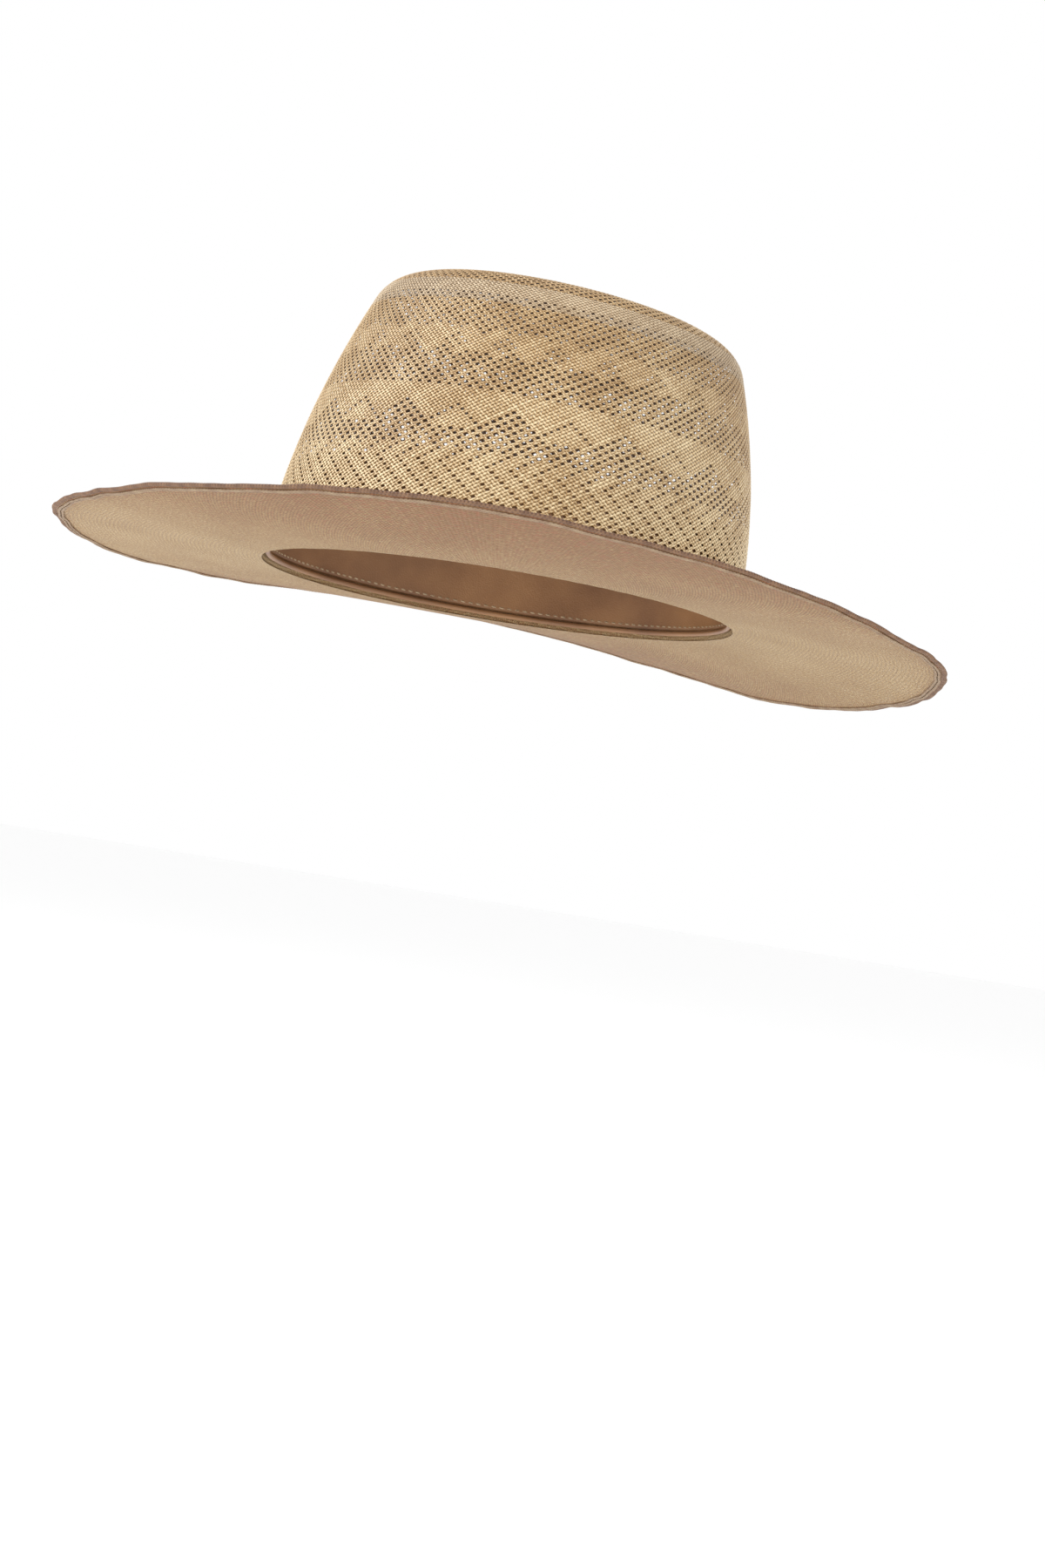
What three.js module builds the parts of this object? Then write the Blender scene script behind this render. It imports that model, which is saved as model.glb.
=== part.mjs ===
// Panama hat with an openwork crown and a wide curled brim.
// Millimetres, +Z up through the crown, front towards -Y.
// The origin is the centre of the head opening, in the plane where crown and brim meet.
import * as THREE from 'three';

// ---- driving dimensions ------------------------------------------------------------

const opening = { halfLength: 103, halfWidth: 84 };
const strawThickness = 1.4;
const gap = 0.3;
const ringRadius = 200;   // where ring sections are drawn before they are bent to the edge

const crown = {
  wallHeight: 111.5,      // height at which the wall turns into the shoulder
  taperAtRoot: 1,         // degrees the wall leans in where it leaves the brim
  taperAtShoulder: 20.5,  // degrees the wall leans in just under the shoulder
  shoulderRadius: 17,
  tipSlope: 8,            // degrees the tip falls away at the edge of the shoulder
  leanBack: 0.08,         // the crown moves back by this share of its height
  frontRise: 0.055,       // how much the top tilts, higher at the front
  shoulderEdge: 0.545,    // share of the outline, root to centre, where the dense band begins
  tipEdge: 0.595,         // share of the outline where the openwork tip begins
};

const brim = {
  frontReach: 190,        // from the origin to the front edge
  backReach: 192,
  sideReach: 165,
  backFullness: 0.07,     // how much wider the outline is behind the middle than before it
  cornerPower: 0.93,      // 1 is a true ellipse, less is fuller at the corners
  curl: 1.4,              // 1 is a straight slope, more keeps it flat near the crown
};

// Height of the brim's edge round the hat: cosine and sine terms of the angle from the front.
const edgeHeight = {
  level: -0.1,
  cosines: [7.7, -7, -0.8, 2.1],
  sines: [1.1, -1.75, 1.75],
};

const edgeRoll = { width: 2.8, sides: 8 };
const edgeCord = { diameter: 1.5, count: 2, sides: 6 };

const band = { height: 36, thickness: 0.9, bottom: 3.2 };
const reed = { diameter: 2.4, sides: 6 };
const seamTape = { width: 14, thickness: 0.6, bottom: 7, top: 36 };
const bow = { halfWidth: 9, lobeHeight: 4.2, waist: 1.3, thickness: 1.2, height: 11 };
const stitchLine = { height: 5, diameter: 0.8, sides: 5 };

// How many flat steps stand for each curve.
const steps = { around: 56, wall: 8, shoulder: 2, tip: 5, brim: 8, band: 3, tape: 4, bow: 5 };

const finishes = {
  straw: { color: 0xd9bf94, roughness: 0.8 },
  strawLight: { color: 0xe2cda6, roughness: 0.8 },
  edge: { color: 0x8a6246, roughness: 0.75 },
  cord: { color: 0xc9ab82, roughness: 0.8 },
  leather: { color: 0x946a44, roughness: 0.55 },
  ribbon: { color: 0x2d211a, roughness: 0.7 },
  thread: { color: 0xc8ac80, roughness: 0.7 },
};

// ---- small helpers -----------------------------------------------------------------

const hat = new THREE.Group();

function degrees(angle) {
  return THREE.MathUtils.degToRad(angle);
}

function addPiece(name, geometry, finish) {
  const material = new THREE.MeshStandardMaterial({ ...finish, metalness: 0 });
  const piece = new THREE.Mesh(geometry, material);
  piece.name = name;
  hat.add(piece);
}

// Turns a closed profile of (radius, height) points round +Z, starting at the front.
function turned(profile) {
  const geometry = new THREE.LatheGeometry(profile, steps.around);
  geometry.rotateX(Math.PI / 2);
  return geometry;
}

// Moves every vertex with place(angle from the front, radius, height).
function reshape(geometry, place) {
  const points = geometry.getAttribute('position');
  for (let i = 0; i < points.count; i += 1) {
    const x = points.getX(i);
    const y = points.getY(i);
    const moved = place(Math.atan2(x, -y), Math.hypot(x, y), points.getZ(i));
    points.setXYZ(i, moved.x, moved.y, moved.z);
  }
  geometry.computeVertexNormals();
  return geometry;
}

// A closed round section, for cords and reeds.
function roundSection(radius, height, diameter, sides) {
  const points = [];
  for (let i = 0; i <= sides; i += 1) {
    const turn = (2 * Math.PI * (i % sides)) / sides;
    points.push(new THREE.Vector2(
      radius + (diameter / 2) * Math.cos(turn),
      height + (diameter / 2) * Math.sin(turn),
    ));
  }
  return points;
}

// ---- crown -------------------------------------------------------------------------

// Outer outline of the crown, root to centre, measured along the hat's length.
function crownOutline() {
  const bendHeight = crown.wallHeight / 2;
  const bendRadius = opening.halfLength - bendHeight * Math.tan(degrees(crown.taperAtRoot));
  const wallTop = bendRadius - bendHeight * Math.tan(degrees(crown.taperAtShoulder));
  const startTurn = degrees(crown.taperAtShoulder);
  const endTurn = degrees(90 - crown.tipSlope);
  const centreRadius = wallTop - crown.shoulderRadius * Math.cos(startTurn);
  const centreHeight = crown.wallHeight - crown.shoulderRadius * Math.sin(startTurn);
  const tipRadius = centreRadius + crown.shoulderRadius * Math.cos(endTurn);
  const tipHeight = centreHeight + crown.shoulderRadius * Math.sin(endTurn);
  const topHeight = tipHeight + (tipRadius / 2) * Math.tan(degrees(crown.tipSlope));
  const outline = new THREE.Path();
  outline.moveTo(opening.halfLength, gap);
  outline.quadraticCurveTo(bendRadius, bendHeight, wallTop, crown.wallHeight);
  outline.absarc(centreRadius, centreHeight, crown.shoulderRadius, startTurn, endTurn, false);
  outline.quadraticCurveTo(tipRadius / 2, topHeight, 0, topHeight);
  return outline;
}

const outline = crownOutline();

// A point on the outline at a share of its length, moved inwards from the outer face.
function onOutline(share, inset) {
  const point = outline.getPointAt(share);
  const along = outline.getTangentAt(share);
  const radius = Math.max(0, point.x - inset * along.y);
  return new THREE.Vector2(share === 1 ? 0 : radius, point.y + inset * along.x);
}

// Closed strip of the crown between two shares of its outline.
function crownStrip(from, to, count, inset, thickness) {
  const profile = [];
  for (let i = 0; i <= count; i += 1) {
    profile.push(onOutline(from + ((to - from) * i) / count, inset));
  }
  for (let i = count; i >= 0; i -= 1) {
    profile.push(onOutline(from + ((to - from) * i) / count, inset + thickness));
  }
  profile.push(profile[0].clone());
  return profile;
}

// The tip is closed at the centre, so its profile starts and ends on the axis.
function tipProfile(from, count) {
  const profile = [];
  for (let i = count; i >= 0; i -= 1) {
    profile.push(onOutline(from + ((1 - from) * i) / count, strawThickness));
  }
  for (let i = 0; i <= count; i += 1) {
    profile.push(onOutline(from + ((1 - from) * i) / count, 0));
  }
  return profile;
}

// The crown is oval, leans back and is higher at the front.
function placeOnCrown(angle, radius, height) {
  const forward = radius * Math.cos(angle);
  return new THREE.Vector3(
    ((radius * opening.halfWidth) / opening.halfLength) * Math.sin(angle),
    -forward + crown.leanBack * height,
    height * (1 + (crown.frontRise * forward) / crown.wallHeight),
  );
}

function addCrown() {
  const seam = gap / outline.getLength();
  const { shoulderEdge, tipEdge } = crown;
  const side = crownStrip(0, shoulderEdge, steps.wall, 0, strawThickness);
  const shoulder = crownStrip(shoulderEdge + seam, tipEdge, steps.shoulder, 0, strawThickness);
  const tip = tipProfile(tipEdge + seam, steps.tip);
  addPiece('crown_side', reshape(turned(side), placeOnCrown), finishes.straw);
  addPiece('crown_shoulder', reshape(turned(shoulder), placeOnCrown), finishes.strawLight);
  addPiece('crown_tip', reshape(turned(tip), placeOnCrown), finishes.straw);
}

// ---- brim --------------------------------------------------------------------------

function signedPower(value, power) {
  return Math.sign(value) * Math.abs(value) ** power;
}

function edgeHeightAt(angle) {
  let height = edgeHeight.level;
  edgeHeight.cosines.forEach((size, i) => {
    height += size * Math.cos((i + 1) * angle);
  });
  edgeHeight.sines.forEach((size, i) => {
    height += size * Math.sin((i + 1) * angle);
  });
  return height;
}

// The outermost line of the brim at an angle from the front.
function edgePoint(angle) {
  const reach = Math.cos(angle) > 0 ? brim.frontReach : brim.backReach;
  const sideReach = brim.sideReach * (1 - brim.backFullness * Math.cos(angle));
  return new THREE.Vector3(
    sideReach * signedPower(Math.sin(angle), brim.cornerPower),
    -reach * signedPower(Math.cos(angle), brim.cornerPower),
    edgeHeightAt(angle),
  );
}

// Where the brim starts: the inner face of the crown, in the root plane.
function rootPoint(angle) {
  const inner = opening.halfLength - strawThickness;
  const narrow = (inner * opening.halfWidth) / opening.halfLength;
  return new THREE.Vector3(narrow * Math.sin(angle), -inner * Math.cos(angle), 0);
}

// Distance across the brim from root to edge, used to turn millimetres into shares.
function brimWidth(angle) {
  return rootPoint(angle).distanceTo(edgePoint(angle));
}

// radius 1 is the root and 2 the outermost line; height is measured from the top face.
function placeOnBrim(angle, radius, height) {
  const share = radius - 1;
  const root = rootPoint(angle);
  const edge = edgePoint(angle);
  const point = root.clone().lerp(edge, share);
  point.z = edge.z * Math.max(0, share) ** brim.curl + height;
  return point;
}

// Section of the flat straw, its radius running from 1 at the root to 2 at the trimmed edge.
function brimSection() {
  const section = [];
  for (let i = 0; i <= steps.brim; i += 1) {
    section.push(new THREE.Vector2(1 + i / steps.brim, -strawThickness));
  }
  for (let i = steps.brim; i >= 0; i -= 1) {
    section.push(new THREE.Vector2(1 + i / steps.brim, 0));
  }
  section.push(section[0].clone());
  return section;
}

function addBrim() {
  const trimmed = edgeRoll.width + gap;
  const sheet = reshape(turned(brimSection()), (angle, radius, height) => {
    const share = (radius - 1) * (1 - trimmed / brimWidth(angle));
    return placeOnBrim(angle, 1 + share, height);
  });
  addPiece('brim', sheet, finishes.strawLight);
}

// Bends a ring drawn at ringRadius so that it follows the outermost line of the brim.
function alongEdge(section) {
  return reshape(turned(section), (angle, radius, height) => {
    const inset = ringRadius - radius;
    return placeOnBrim(angle, 2 - inset / brimWidth(angle), height);
  });
}

// The straw turned back on itself round the edge, with rows of cord stitched inside it.
function addEdge() {
  const rollCentre = ringRadius - edgeRoll.width / 2;
  const roll = roundSection(rollCentre, -strawThickness / 2, edgeRoll.width, edgeRoll.sides);
  addPiece('brim_edge_roll', alongEdge(roll), finishes.edge);
  const under = -strawThickness - gap - edgeCord.diameter / 2;
  for (let row = 0; row < edgeCord.count; row += 1) {
    const step = edgeCord.diameter + gap;
    const inset = edgeRoll.width + gap + edgeCord.diameter / 2 + row * step;
    const cord = roundSection(ringRadius - inset, under, edgeCord.diameter, edgeCord.sides);
    addPiece(`brim_edge_cord_${row + 1}`, alongEdge(cord), finishes.cord);
  }
}

// ---- sweatband ---------------------------------------------------------------------

// Share of the outline at a height up the lower wall, which is nearly upright.
function shareAt(height) {
  return height / outline.getLength();
}

function addSweatband() {
  const inset = strawThickness + gap;
  const top = band.bottom + band.height;
  const ends = [shareAt(band.bottom), shareAt(top)];
  const leather = crownStrip(...ends, steps.band, inset, band.thickness);
  addPiece('sweatband', reshape(turned(leather), placeOnCrown), finishes.leather);
  const reedRadius = opening.halfLength - inset - gap - reed.diameter / 2;
  const reedHeight = band.bottom - gap - reed.diameter / 2;
  const section = roundSection(reedRadius, reedHeight, reed.diameter, reed.sides);
  addPiece('sweatband_reed', reshape(turned(section), placeOnCrown), finishes.leather);
  const face = onOutline(shareAt(stitchLine.height), inset + band.thickness + gap);
  const threadRadius = face.x - stitchLine.diameter / 2;
  const thread = roundSection(threadRadius, face.y, stitchLine.diameter, stitchLine.sides);
  addPiece('sweatband_stitching', reshape(turned(thread), placeOnCrown), finishes.thread);
}

// Wraps a flat piece on to the inside of the sweatband at the back. The piece is drawn
// with x across, y up the band and z out of it, towards the middle of the hat.
function ontoBack(geometry, standOff) {
  const points = geometry.getAttribute('position');
  for (let i = 0; i < points.count; i += 1) {
    const across = points.getX(i) / opening.halfWidth;
    const up = points.getY(i);
    const wall = onOutline(shareAt(up), standOff + points.getZ(i));
    const placed = placeOnCrown(Math.PI - across, wall.x, wall.y);
    points.setXYZ(i, placed.x, placed.y, placed.z);
  }
  geometry.computeVertexNormals();
  return geometry;
}

// The tape that covers the join of the sweatband, above its stitching.
function addSeamTape() {
  const face = strawThickness + gap + band.thickness + gap;
  const height = seamTape.top - seamTape.bottom;
  const { width, thickness } = seamTape;
  const tape = new THREE.BoxGeometry(width, height, thickness, steps.tape, steps.tape, 1);
  tape.translate(0, (seamTape.top + seamTape.bottom) / 2, thickness / 2);
  addPiece('sweatband_seam_tape', ontoBack(tape, face), finishes.ribbon);
}

// The small bow sewn over the join, drawn as two lobes and a waist.
function addBow() {
  const shape = new THREE.Shape();
  const { halfWidth, lobeHeight, waist } = bow;
  shape.moveTo(0, -waist);
  shape.quadraticCurveTo(halfWidth / 2, -waist, halfWidth, -lobeHeight);
  shape.lineTo(halfWidth, lobeHeight);
  shape.quadraticCurveTo(halfWidth / 2, waist, 0, waist);
  shape.quadraticCurveTo(-halfWidth / 2, waist, -halfWidth, lobeHeight);
  shape.lineTo(-halfWidth, -lobeHeight);
  shape.quadraticCurveTo(-halfWidth / 2, -waist, 0, -waist);
  const settings = { depth: bow.thickness, bevelEnabled: false, curveSegments: steps.bow };
  const ribbon = new THREE.ExtrudeGeometry(shape, settings);
  ribbon.translate(0, bow.height, 0);
  const face = strawThickness + band.thickness + seamTape.thickness + 3 * gap;
  addPiece('sweatband_bow', ontoBack(ribbon, face), finishes.ribbon);
}

hat.name = 'panama_hat';
addCrown();
addBrim();
addEdge();
addSweatband();
addSeamTape();
addBow();

export default hat;
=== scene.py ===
"""Looks of an openwork panama hat: woven crown, wide brim with a corded edge, leather sweatband."""
import math

import bpy
import numpy as np
from mathutils import Matrix, Vector


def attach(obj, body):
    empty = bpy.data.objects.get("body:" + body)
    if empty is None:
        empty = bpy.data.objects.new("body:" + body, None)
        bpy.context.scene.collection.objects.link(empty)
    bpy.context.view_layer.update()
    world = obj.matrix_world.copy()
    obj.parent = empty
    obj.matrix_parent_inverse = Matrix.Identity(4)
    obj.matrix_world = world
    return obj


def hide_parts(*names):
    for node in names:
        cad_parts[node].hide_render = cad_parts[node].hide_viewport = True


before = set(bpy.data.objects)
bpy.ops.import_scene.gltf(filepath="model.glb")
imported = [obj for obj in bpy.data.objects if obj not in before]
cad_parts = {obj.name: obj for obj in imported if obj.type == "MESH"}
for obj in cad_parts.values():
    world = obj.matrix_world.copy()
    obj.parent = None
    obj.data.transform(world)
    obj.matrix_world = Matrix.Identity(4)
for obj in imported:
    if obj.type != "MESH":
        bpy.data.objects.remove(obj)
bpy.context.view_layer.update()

MM = 0.001
TURN = 2 * math.pi
rng = np.random.default_rng(7)

# ---- shape of the hat, in millimetres, as the CAD model has it ------------------------------

OPENING_HALF_LENGTH = 103
OPENING_HALF_WIDTH = 84
NARROWNESS = OPENING_HALF_WIDTH / OPENING_HALF_LENGTH
STRAW = 1.4                  # thickness of the CAD shell, which the weave fills
WALL_HEIGHT = 111.5
TAPER_AT_ROOT = math.radians(1)
TAPER_AT_SHOULDER = math.radians(20.5)
SHOULDER_RADIUS = 17
TIP_SLOPE = math.radians(8)
LEAN_BACK = 0.08             # the crown moves back by this share of its height
FRONT_RISE = 0.055           # how much higher the crown is at the front
CURVE_POINTS = 400           # points along the wall, and along the tip
SHOULDER_POINTS = 120
FACE_STEP = 0.5              # mm between the points that show which way a face looks

FRONT_REACH = 190
BACK_REACH = 192
SIDE_REACH = 165
BACK_FULLNESS = 0.07         # how much wider the outline is behind the middle than before it
CORNER_POWER = 0.93          # 1 is a true ellipse, less is fuller at the corners
CURL = 1.4                   # 1 is a straight slope, more keeps it flat near the crown
EDGE_LEVEL = -0.1            # height of the edge round the hat, then its cosine and sine terms
EDGE_COSINES = (7.7, -7, -0.8, 2.1)
EDGE_SINES = (1.1, -1.75, 1.75)
EDGE_ROLL = 2.8
PAST_EDGE = 1.05             # share of the brim's width that pieces on it may reach
EDGE_WAVES = ((9, 0.45, 1), (17, 0.25, 0), (31, 0.15, 2), (53, 0.08, 1))   # count, mm, start
WAVE_REACH = 5               # power of the share across the brim: more keeps the waves at the edge

# ---- the openwork pattern -------------------------------------------------------------------

REPEATS = 13                 # times the pattern goes round the crown
PERIOD = 10                  # columns of holes in a repeat
COLUMNS = REPEATS * PERIOD
PATTERN_START = math.radians(42.5)   # where the first repeat is centred, from the front
LOWER_CHEVRON = (3, 5, 9)    # first row, row of the bend, and the row it ends before
ROOT_MESH = (9, 14)
UPPER_CHEVRON = (14, 21, 25)
LOWER_MESH = 25
MERGE_ROW = 30               # where the mesh divides into peaks, an even row
PEAK_ROWS = 6
MIDDLE_MESH = (40, 48)
CLUSTER_ROW = 52
CLUSTER_REACH = 1.1          # columns, from the middle of a cluster to its side
UPPER_MESH = (57, 68)
SMALL_PEAKS = 3              # small peaks on the middle and upper mesh, to a repeat
MIDDLE_PEAK_RISE = 1.6       # rows that they rise in a column
UPPER_PEAK_RISE = 1.2
LINE_REACH = 0.2             # columns from a line within which a cell is on it
LOWER_HOLE = 1.0             # how open the holes are, from the root upwards
MIDDLE_HOLE = 0.9
UPPER_HOLE = 0.8
LINE_HOLE = 0.8
CHEVRON_HOLE = 0.75
CLUSTER_HOLE = 0.65
HOLE_SPREAD = 0.35           # how unequal they are
SCATTER = (12.9898, 78.233, 43758.5453)   # by row, by column and in all, to scatter the shares

# ---- the strands ----------------------------------------------------------------------------

ROW_SQUASH = 0.8             # height of a cell of the weave against its width
SAMPLES = 4                  # points along a strand in each cell
SECTION_POINTS = 4           # points round a strand
PAIR_OFFSET = 0.25           # shares of a cell: each strand of a pair from the pair's middle
STRAND_THICKNESS = 0.34
STRAND_WAVE = 0.13           # how far a strand rides up and down as it passes the others
FLATTER_AT_HOLES = 0.35      # share by which it rides less beside a hole
RISING_PROUD = 0.04          # how much further out the strands that rise to the back lie
DENSE_HALF_WIDTH = 0.228     # shares of a cell: half a strand where the weave is closed
MESH_NARROWING = 0.08        # how much narrower it gets beside a hole
BUNCH = 0.13                 # how far it moves aside for a hole
BULGE = 0.05                 # how much more it does so at the hole's middle
STRAND_VARIATION = 0.16      # how much the colour changes from strand to strand
UNDER_CROSSING_SHADE = 0.42            # painted shade: how much deeper the colour is where a strand passes under another
SECTION_SHADES = (0.12, 0, 0.12, 0.65)  # painted shade on each corner of the section: side, outer face, side, inner face
DARKER_UPWARDS = 0.22        # how much darker the straw is made from root to shoulder
SIDE_TOP = 109               # mm up the outline, where the shoulder begins
SIDE_PARTS = 3               # meshes that each family of the side's strands is split into
SHOULDER_TOP = 118.5         # mm up the outline, where the tip begins
SPARE_ROWS = 4               # mm of rows past the shoulder, so that its last row is whole
TIP_DENSE_ROWS = 2
TIP_PEAK = 4                 # columns of holes in a peak of the tip
TIP_RINGS = ((120, 137), (84, 156), (52, 174), (28, 187), (16, 194))  # columns, mm up its end
CENTRE_STRANDS = 16
CENTRE_ROWS = 5
CENTRE_RINGS = 40
CENTRE_AROUND = 160
CENTRE_RELIEF = 0.16
CENTRE_SWIRL = 9             # radians that its strands turn from the middle to the edge
CENTRE_HALF_THICKNESS = 0.35
CENTRE_OVERLAP = 1           # mm that it reaches under the last ring
CENTRE_TONE = 0.5


# ---- surfaces -------------------------------------------------------------------------------

def bezier(p0, p1, p2, count):
    t = np.linspace(0, 1, count)[:, None]
    p0, p1, p2 = (np.array(p, float) for p in (p0, p1, p2))
    return (1 - t) ** 2 * p0 + 2 * t * (1 - t) * p1 + t * t * p2


def crown_outline():
    """Points (radius along the hat's length, height) of the crown's outer face, root to centre."""
    bend = WALL_HEIGHT / 2
    bend_radius = OPENING_HALF_LENGTH - bend * math.tan(TAPER_AT_ROOT)
    wall_top = bend_radius - bend * math.tan(TAPER_AT_SHOULDER)
    root = (OPENING_HALF_LENGTH, 0)
    wall = bezier(root, (bend_radius, bend), (wall_top, WALL_HEIGHT), CURVE_POINTS)
    turn = np.linspace(TAPER_AT_SHOULDER, math.pi / 2 - TIP_SLOPE, SHOULDER_POINTS)
    centre = np.array([
        wall_top - SHOULDER_RADIUS * math.cos(TAPER_AT_SHOULDER),
        WALL_HEIGHT - SHOULDER_RADIUS * math.sin(TAPER_AT_SHOULDER),
    ])
    arc = centre + SHOULDER_RADIUS * np.stack([np.cos(turn), np.sin(turn)], 1)
    rim_radius, rim_height = arc[-1]
    top = rim_height + rim_radius / 2 * math.tan(TIP_SLOPE)
    tip = bezier(arc[-1], (rim_radius / 2, top), (0, top), CURVE_POINTS)
    return np.concatenate([wall, arc[1:], tip[1:]])


OUTLINE = crown_outline()
OUTLINE_AT = np.concatenate([[0], np.cumsum(np.hypot(*np.diff(OUTLINE, axis=0).T))])
OUTLINE_LENGTH = OUTLINE_AT[-1]


def outline_at(up):
    """Radius and height of the outer face, so many mm up the outline from the root."""
    radius = np.interp(up, OUTLINE_AT, OUTLINE[:, 0])
    height = np.interp(up, OUTLINE_AT, OUTLINE[:, 1])
    return radius, height


def on_crown(angle, up, out):
    """Points in mm: angle from the front, up along the outline, out from the outer face."""
    radius, height = outline_at(up)
    radius_ahead, height_ahead = outline_at(np.clip(up + FACE_STEP, 0, OUTLINE_LENGTH))
    radius_behind, height_behind = outline_at(np.clip(up - FACE_STEP, 0, OUTLINE_LENGTH))
    d_radius = radius_ahead - radius_behind
    d_height = height_ahead - height_behind
    size = np.hypot(d_radius, d_height)
    radius = radius + out * d_height / size
    height = height - out * d_radius / size
    forward = radius * np.cos(angle)
    return np.stack([
        radius * NARROWNESS * np.sin(angle),
        -forward + LEAN_BACK * height,
        height * (1 + FRONT_RISE * forward / WALL_HEIGHT),
    ], -1)


def signed_power(value, power):
    return np.sign(value) * np.abs(value) ** power


def brim_edge(angle):
    """The outermost line of the brim."""
    c, s = np.cos(angle), np.sin(angle)
    reach = np.where(c > 0, FRONT_REACH, BACK_REACH)
    height = EDGE_LEVEL + 0 * angle
    for i, size in enumerate(EDGE_COSINES):
        height = height + size * np.cos((i + 1) * angle)
    for i, size in enumerate(EDGE_SINES):
        height = height + size * np.sin((i + 1) * angle)
    return np.stack([
        SIDE_REACH * (1 - BACK_FULLNESS * c) * signed_power(s, CORNER_POWER),
        -reach * signed_power(c, CORNER_POWER),
        height,
    ], -1)


def brim_root(angle):
    """The line where the brim meets the inner face of the crown."""
    inner = OPENING_HALF_LENGTH - STRAW
    side = inner * NARROWNESS
    return np.stack([side * np.sin(angle), -inner * np.cos(angle), 0 * angle], -1)


def waves(angle, terms):
    """A sum of sines round the hat, from terms of count, size and start."""
    return sum(size * np.sin(count * angle + start) for count, size, start in terms)


def on_brim(angle, inset, height):
    """Points in mm: angle from the front, inset from the outermost line, height over the top face."""
    root, edge = brim_root(angle), brim_edge(angle)
    width = np.linalg.norm(edge - root, axis=-1)
    share = np.clip(1 - inset / width, 0, PAST_EDGE)
    point = root + (edge - root) * share[..., None]
    rise = edge[..., 2] * share ** CURL + waves(angle, EDGE_WAVES) * share ** WAVE_REACH
    point[..., 2] = rise + height
    return point


def brim_width(angle):
    return np.linalg.norm(brim_edge(angle) - brim_root(angle), axis=-1)


# ---- meshes ---------------------------------------------------------------------------------

def mesh_piece(name, points_mm, quads, material, node, tones=None, flat_map=None):
    """A smooth mesh in place of a CAD node, with a tone and a place on the flat map for each point."""
    mesh = bpy.data.meshes.new(name)
    points = np.ascontiguousarray(points_mm.reshape(-1, 3) * MM, np.float32)
    quads = np.ascontiguousarray(quads.reshape(-1, 4), np.int32)
    mesh.vertices.add(len(points))
    mesh.vertices.foreach_set("co", points.ravel())
    mesh.loops.add(quads.size)
    mesh.loops.foreach_set("vertex_index", quads.ravel())
    mesh.polygons.add(len(quads))
    mesh.polygons.foreach_set("loop_start", np.arange(0, quads.size, 4, dtype=np.int32))
    mesh.polygons.foreach_set("use_smooth", np.ones(len(quads), bool))
    mesh.update(calc_edges=True)
    if tones is not None:
        layer = mesh.attributes.new("tone", "FLOAT", "POINT")
        layer.data.foreach_set("value", np.ascontiguousarray(tones.ravel(), np.float32))
    if flat_map is not None:
        layer = mesh.uv_layers.new(name="weave_map")
        flat = flat_map.reshape(-1, 2)[quads.ravel()]
        layer.data.foreach_set("uv", np.ascontiguousarray(flat.ravel(), np.float32))
    piece = bpy.data.objects.new(name, mesh)
    bpy.context.scene.collection.objects.link(piece)
    mesh.materials.append(material)
    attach(piece, "root")
    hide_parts(node)


def grid_quads(rows, columns, close_rows=False, close_columns=False):
    """Quads of a grid of points with this many rows and columns."""
    r = np.arange(rows if close_rows else rows - 1)
    c = np.arange(columns if close_columns else columns - 1)
    r, c = np.meshgrid(r, c, indexing="ij")
    r1, c1 = (r + 1) % rows, (c + 1) % columns
    return np.stack([r * columns + c, r1 * columns + c, r1 * columns + c1, r * columns + c1], -1)


def strand_mesh(paths, normals, half_width, thickness):
    """Flat strands with four-sided sections: points and quads. paths is strands x samples x 3."""
    along = np.gradient(paths, axis=1)
    side = np.cross(along, normals)
    side /= np.linalg.norm(side, axis=-1, keepdims=True)
    lift = normals * (thickness / 2)
    wide = side * half_width[..., None]
    ring = np.stack([paths - wide, paths + lift, paths + wide, paths - lift], 2)
    strands, samples = paths.shape[:2]
    quads = grid_quads(samples, SECTION_POINTS, close_columns=True).reshape(-1, 4)
    last = (samples - 1) * SECTION_POINTS
    caps = np.array([[0, 1, 2, 3], [last + 3, last + 2, last + 1, last]])
    quads = np.concatenate([quads, caps])
    starts = np.arange(strands)[:, None, None] * samples * SECTION_POINTS
    return ring, quads[None] + starts


# ---- which cells of the weave are open ------------------------------------------------------

def openwork(row, column):
    """How open each cell is, 0 to 1. Rows count up from the root, two to a cell's height."""
    along = np.mod(column + PERIOD / 2, PERIOD) - PERIOD / 2     # from the repeat's centre
    from_end = PERIOD / 2 - np.abs(along)
    peak_half = PERIOD / 4
    zigzag = np.abs(np.mod(column, PERIOD / SMALL_PEAKS) - PERIOD / SMALL_PEAKS / 2)
    rise = row - MERGE_ROW
    root_mesh = (row >= ROOT_MESH[0]) & (row < ROOT_MESH[1])
    lower_mesh = (row >= LOWER_MESH) & (row < MERGE_ROW)
    peaks = (rise >= 0) & (rise < PEAK_ROWS) & (from_end <= peak_half - rise / 2)
    middle_mesh = (row >= MIDDLE_MESH[0]) & (row < MIDDLE_MESH[1] + MIDDLE_PEAK_RISE * zigzag)
    upper_mesh = (row >= UPPER_MESH[0] - UPPER_PEAK_RISE * zigzag) & (row < UPPER_MESH[1])
    from_line = np.abs(np.abs(along) - (peak_half - rise / 2))
    line = (rise >= 0) & (rise <= PEAK_ROWS) & (from_line < LINE_REACH)
    chevrons = chevron(row, column, UPPER_CHEVRON) | chevron(row, column, LOWER_CHEVRON)
    opened = np.select(
        [root_mesh | lower_mesh | peaks, middle_mesh, upper_mesh, line,
         chevrons, clusters(row, column)],
        [LOWER_HOLE, MIDDLE_HOLE, UPPER_HOLE, LINE_HOLE, CHEVRON_HOLE, CLUSTER_HOLE],
    )
    return opened * uneven(row, column)


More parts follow.
